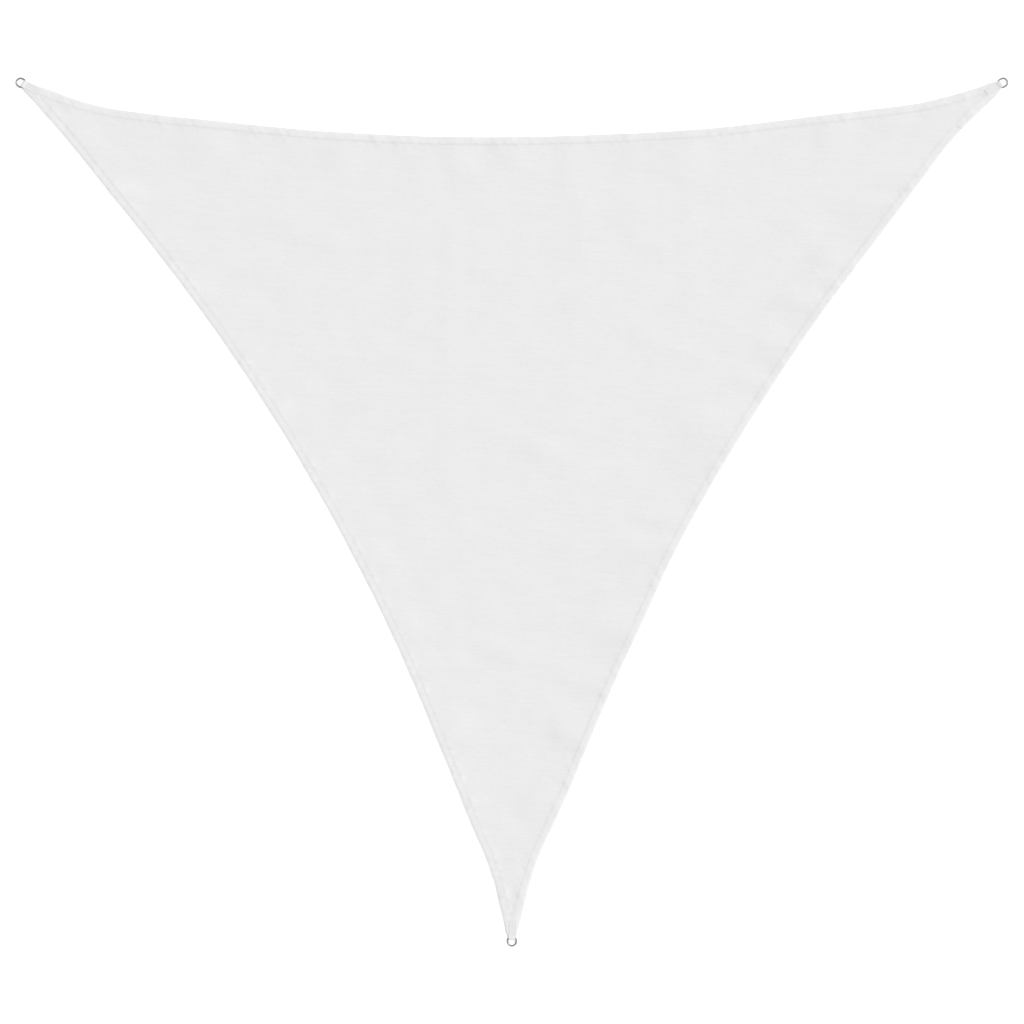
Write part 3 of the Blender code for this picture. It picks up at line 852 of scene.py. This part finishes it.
# Weave: ribs along the tape, each with its picks half a turn from the next rib's
RIB_PITCH, PICK_PITCH = 2.08 * MM, 1.7 * MM
RIB_CROWN, PICK_CROWN = 0.5, 0.6      # powers that give them their rounded backs
WEAVE_HEIGHT = 0.3 * MM
WEAVE_PAINTED_SHADE = 0.80            # painted shade between two ribs, as a tone
FUZZ_A_METRE, FUZZ_TONE = 900.0, (0.96, 1.04)
TAPE_WHITE = 0.79


def tape_route():
    """Middle of the tape's thickness in the corner's upright plane: distance, height."""
    turn_radius = WIRE / 2 + GAP + TAPE_THICK / 2
    lower = [(place, TAPE_THICK / 2)
             for place in np.linspace(TAIL_LENGTH, LOWER_END, LOWER_STEPS)]
    turn = [(turn_radius * math.cos(angle), BAR_HEIGHT + turn_radius * math.sin(angle))
            for angle in np.linspace(-math.pi / 2, -1.5 * math.pi, TURN_STEPS)]
    top, rest = BAR_HEIGHT + turn_radius, TAPE_TOP - TAPE_THICK / 2
    upper = [(place, top + (rest - top) * ease(place / TAPE_SETTLE))
             for place in np.linspace(UPPER_START, TAIL_LENGTH, UPPER_STEPS)]
    return np.array(lower + turn + upper)


def row_depth(place, aside):
    """1 on the rows of thread that hold the tails, 0 away from them."""
    first, last = CROSS_ROWS
    if not first - ROW_HALF < place < last + ROW_HALF or abs(aside) > LONG_ROWS[-1] + ROW_HALF:
        return 0.0
    away = [aside - row for row in LONG_ROWS] + [place - row for row in CROSS_ROWS]
    return max(float(mound(distance, ROW_HALF)) for distance in away)


def build_tape(name):
    """The tape with the ring bar along Y and the sail towards +X, unwrapped by length."""
    route = tape_route()
    run = np.append(0, np.cumsum(np.linalg.norm(np.diff(route, axis=0), axis=1)))
    mesh = bmesh.new()
    layer = mesh.loops.layers.uv.new("tape")
    shade = mesh.verts.layers.float.new("painted_shade_and_tone")
    bmesh.ops.create_grid(mesh, x_segments=len(route) - 1, y_segments=TAPE_COLUMNS, size=0.5,
                          calc_uvs=True)
    for panel in mesh.faces:
        for loop in panel.loops:
            step = round((loop.vert.co.x + 0.5) * (len(route) - 1))
            loop[layer].uv = (run[step], loop.vert.co.y * TAPE_WIDTH)
    for vert in mesh.verts:
        place, height = route[round((vert.co.x + 0.5) * (len(route) - 1))]
        aside = vert.co.y * TAPE_WIDTH
        # The rows' share, for their groove and for the shade painted in it
        if height > BAR_HEIGHT:
            vert[shade] = row_depth(place, aside)
        vert.co = (place, aside, height - ROW_GROOVE * vert[shade])
    tape = place_mesh(name, mesh, SMOOTH)
    wall = tape.modifiers.new("wall", "SOLIDIFY")
    wall.thickness, wall.offset = TAPE_THICK, 0
    edge = tape.modifiers.new("edge", "BEVEL")
    edge.width, edge.segments, edge.limit_method = TAPE_EDGE, TAPE_EDGE_STEPS, "ANGLE"
    edge.angle_limit = math.radians(SHARP)
    return tape


def webbing_finish():
    made = Finish("white_webbing")
    run = made.node("UVMap", {"uv_map": "tape"})
    along, across = made.parts(run)
    rib = made.product(across, math.pi / RIB_PITCH)
    turn = made.product(made.maths("SIGN", made.maths("SINE", rib)), math.pi / 4)
    pick = made.maths("ADD", made.product(along, math.pi / PICK_PITCH), turn)
    height = made.product(made.maths("POWER", made.size_of_wave("SINE", rib), RIB_CROWN),
                          made.maths("POWER", made.size_of_wave("SINE", pick), PICK_CROWN))
    fuzz = made.node("TexNoise", None, Vector=run, Scale=FUZZ_A_METRE, Detail=2.0)
    # Tone: shade painted between the ribs and in the rows' grooves, and fuzz
    tone = made.product(made.spread(height, WEAVE_PAINTED_SHADE, 1.0), made.spread(fuzz, *FUZZ_TONE),
                        made.spread(made.noted("painted_shade_and_tone"), 1.0, 1.0 - ROW_PAINTED_SHADE), TAPE_WHITE)
    bump = made.node("Bump", None, Strength=0.7, Distance=WEAVE_HEIGHT, Height=height)
    return made.finish(Base_Color=made.grey(tone), Roughness=0.6, Sheen_Weight=0.15, Normal=bump)


def at_corner(piece, corner, height=0.0, tilt=0.0):
    """Set a piece made at the origin in its place at a corner, in its mesh."""
    heading = math.atan2(AXES[corner][1], AXES[corner][0])
    turned = Euler((0, -tilt, heading)).to_matrix().to_4x4()
    piece.data.transform(Matrix.Translation((*BARS[corner], height)) @ turned)
    return piece


LOOP_PITCH = 3.1 * MM
LOOP_THREAD = 0.7 * MM
LONG_POINTS, CROSS_POINTS = 40, 12


def loop_rows():
    """The rows on the upper tail, for a loop at the origin."""
    first, last = CROSS_ROWS
    long = np.linspace(first, last, LONG_POINTS)
    across = np.linspace(LONG_ROWS[0], LONG_ROWS[-1], CROSS_POINTS)
    rows = [(long, np.full(LONG_POINTS, aside)) for aside in LONG_ROWS]
    rows += [(np.full(CROSS_POINTS, place), across) for place in CROSS_ROWS]
    over_bar = BAR_HEIGHT + WIRE / 2 + GAP + TAPE_THICK
    heights = [over_bar + (TAPE_TOP - over_bar) * ease(places / TAPE_SETTLE)
               for places, _ in rows]
    sunk = ROW_GROOVE - FACE_PROUD * LOOP_THREAD
    return [np.column_stack((*row, height - sunk)) for row, height in zip(rows, heights)]


white_webbing = webbing_finish()
loops, loop_threads = [], []
for corner in BARS:
    tape = at_corner(build_tape("webbing_loop_" + corner), corner)
    tape.data.materials.append(white_webbing)
    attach(tape, "root")
    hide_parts("corner_loop_" + corner)
    loops.append(tape)
    rows = at_corner(sew("webbing_thread_" + corner, loop_rows(), LOOP_PITCH, LOOP_THREAD), corner)
    rows.data.materials.append(white_thread)
    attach(rows, "root")
    loop_threads.append(rows)


# Rings. 6 mm stainless wire bent to a D and welded, then tumbled smooth. The bar sits in
# the webbing and the bow rests on the ground.

BOW_RADIUS = (RING_WIDTH - WIRE) / 2
RING_CORNER = 3.6 * MM       # bend of the wire's middle at the bar's ends
BAR_POINTS = 8
BEND_STEPS, BOW_STEPS, WIRE_STEPS = 8, 56, 6
HAZE_A_METRE, PITS_A_METRE = 260.0, 1900.0
HAZE_TONE = (0.9, 1.08)
STEEL_TONE, STEEL_BLUE = 0.31, 1.02   # the second is its blue against its red
STEEL_ROUGHNESS = (0.22, 0.42)
PIT_DEPTH = 0.05 * MM


def arc(centre, radius, start, end, steps):
    """Points of an arc between two angles in degrees."""
    angles = np.radians(np.linspace(start, end, steps + 1))
    return np.column_stack((centre[0] + radius * np.cos(angles),
                            centre[1] + radius * np.sin(angles)))


def build_ring(name):
    """A D ring: its bar along Y through the origin, its bow towards -X."""
    bend = BOW_RADIUS - RING_CORNER
    bar = np.column_stack((np.zeros(BAR_POINTS), np.linspace(-bend, bend, BAR_POINTS)))
    outline = np.concatenate((
        bar[1:-1],
        arc((-RING_CORNER, bend), RING_CORNER, 0, 90, BEND_STEPS),
        arc((-RING_ARC_REACH, 0), BOW_RADIUS, 90, 270, BOW_STEPS),
        arc((-RING_CORNER, -bend), RING_CORNER, 270, 360, BEND_STEPS)))
    bent = line_through(name + "_wire", np.column_stack((outline, np.zeros(len(outline)))))
    bent.data.splines[0].use_cyclic_u = True
    bent.data.bevel_depth, bent.data.bevel_resolution = WIRE / 2, WIRE_STEPS
    mesh = bmesh.new()
    take_up(mesh, bent)
    bmesh.ops.remove_doubles(mesh, verts=mesh.verts[:], dist=WELD)
    bmesh.ops.recalc_face_normals(mesh, faces=mesh.faces[:])
    return place_mesh(name, mesh, SMOOTH)


def steel_finish():
    made = Finish("tumbled_steel")
    place = made.place()
    haze = made.node("TexNoise", None, Vector=place, Scale=HAZE_A_METRE, Detail=3.0)
    pits = made.node("TexNoise", None, Vector=place, Scale=PITS_A_METRE, Detail=2.0)
    tone = made.product(made.spread(haze, *HAZE_TONE), STEEL_TONE)
    colour = made.node("CombineColor", None, i0=tone, i1=tone, i2=made.product(tone, STEEL_BLUE))
    bump = made.node("Bump", None, Strength=0.25, Distance=PIT_DEPTH, Height=pits)
    rough = made.spread(haze, *STEEL_ROUGHNESS)
    return made.finish(Base_Color=colour, Metallic=1.0, Roughness=rough, Normal=bump)


steel = steel_finish()
tilt = math.asin((BAR_HEIGHT - WIRE / 2) / (RING_ARC_REACH + BOW_RADIUS))
for corner in BARS:
    ring = at_corner(build_ring("steel_ring_" + corner), corner, BAR_HEIGHT, tilt)
    ring.data.materials.append(steel)
    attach(ring, "root")
    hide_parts("ring_" + corner)


# Stage. A plain white floor under a soft light from the right, glowing a little so that no
# shadow shows on it, as in the photograph. The camera looks straight down on the sail.

FLOOR_SIZE = 60
LIGHT_HEADING, LIGHT_HEIGHT, LIGHT_SPREAD = math.radians(22), math.radians(40), math.radians(35)
LIGHT_STRENGTH = 1.95
SKY_STRENGTH = 0.755
FLOOR_GLOW = 0.3
CAMERA_LENS = 85
CAMERA_SENSOR = 36
VIEW_WIDTH = 3.716           # of the ground, across the picture


def floor_finish():
    made = Finish("floor_white")
    return made.finish(Base_Color=(0.95, 0.95, 0.95, 1), Roughness=1.0,
                       Emission_Color=(1, 1, 1, 1), Emission_Strength=FLOOR_GLOW)


floor_mesh = bmesh.new()
bmesh.ops.create_circle(floor_mesh, cap_ends=True, segments=64, radius=FLOOR_SIZE / 2)
floor = place_mesh("floor", floor_mesh)
floor.data.materials.append(floor_finish())

sun = bpy.data.lights.new("soft_light", "SUN")
sun.energy = LIGHT_STRENGTH
sun.angle = LIGHT_SPREAD
lamp = bpy.data.objects.new("soft_light", sun)
towards = Vector((math.cos(LIGHT_HEADING) * math.cos(LIGHT_HEIGHT),
                  math.sin(LIGHT_HEADING) * math.cos(LIGHT_HEIGHT), math.sin(LIGHT_HEIGHT)))
lamp.rotation_euler = towards.to_track_quat("Z", "Y").to_euler()
bpy.context.scene.collection.objects.link(lamp)

world = bpy.data.worlds.new("studio")
world.use_nodes = True
world.node_tree.nodes["Background"].inputs["Color"].default_value = (1, 1, 1, 1)
world.node_tree.nodes["Background"].inputs["Strength"].default_value = SKY_STRENGTH
bpy.context.scene.world = world
bpy.context.scene.view_settings.view_transform = "Standard"

lens = bpy.data.cameras.new("camera")
lens.lens = CAMERA_LENS
lens.sensor_width = CAMERA_SENSOR
lens.clip_end = 100
camera = bpy.data.objects.new("camera", lens)
camera.location = (0, 0, VIEW_WIDTH * CAMERA_LENS / CAMERA_SENSOR)
bpy.context.scene.collection.objects.link(camera)
bpy.context.scene.camera = camera
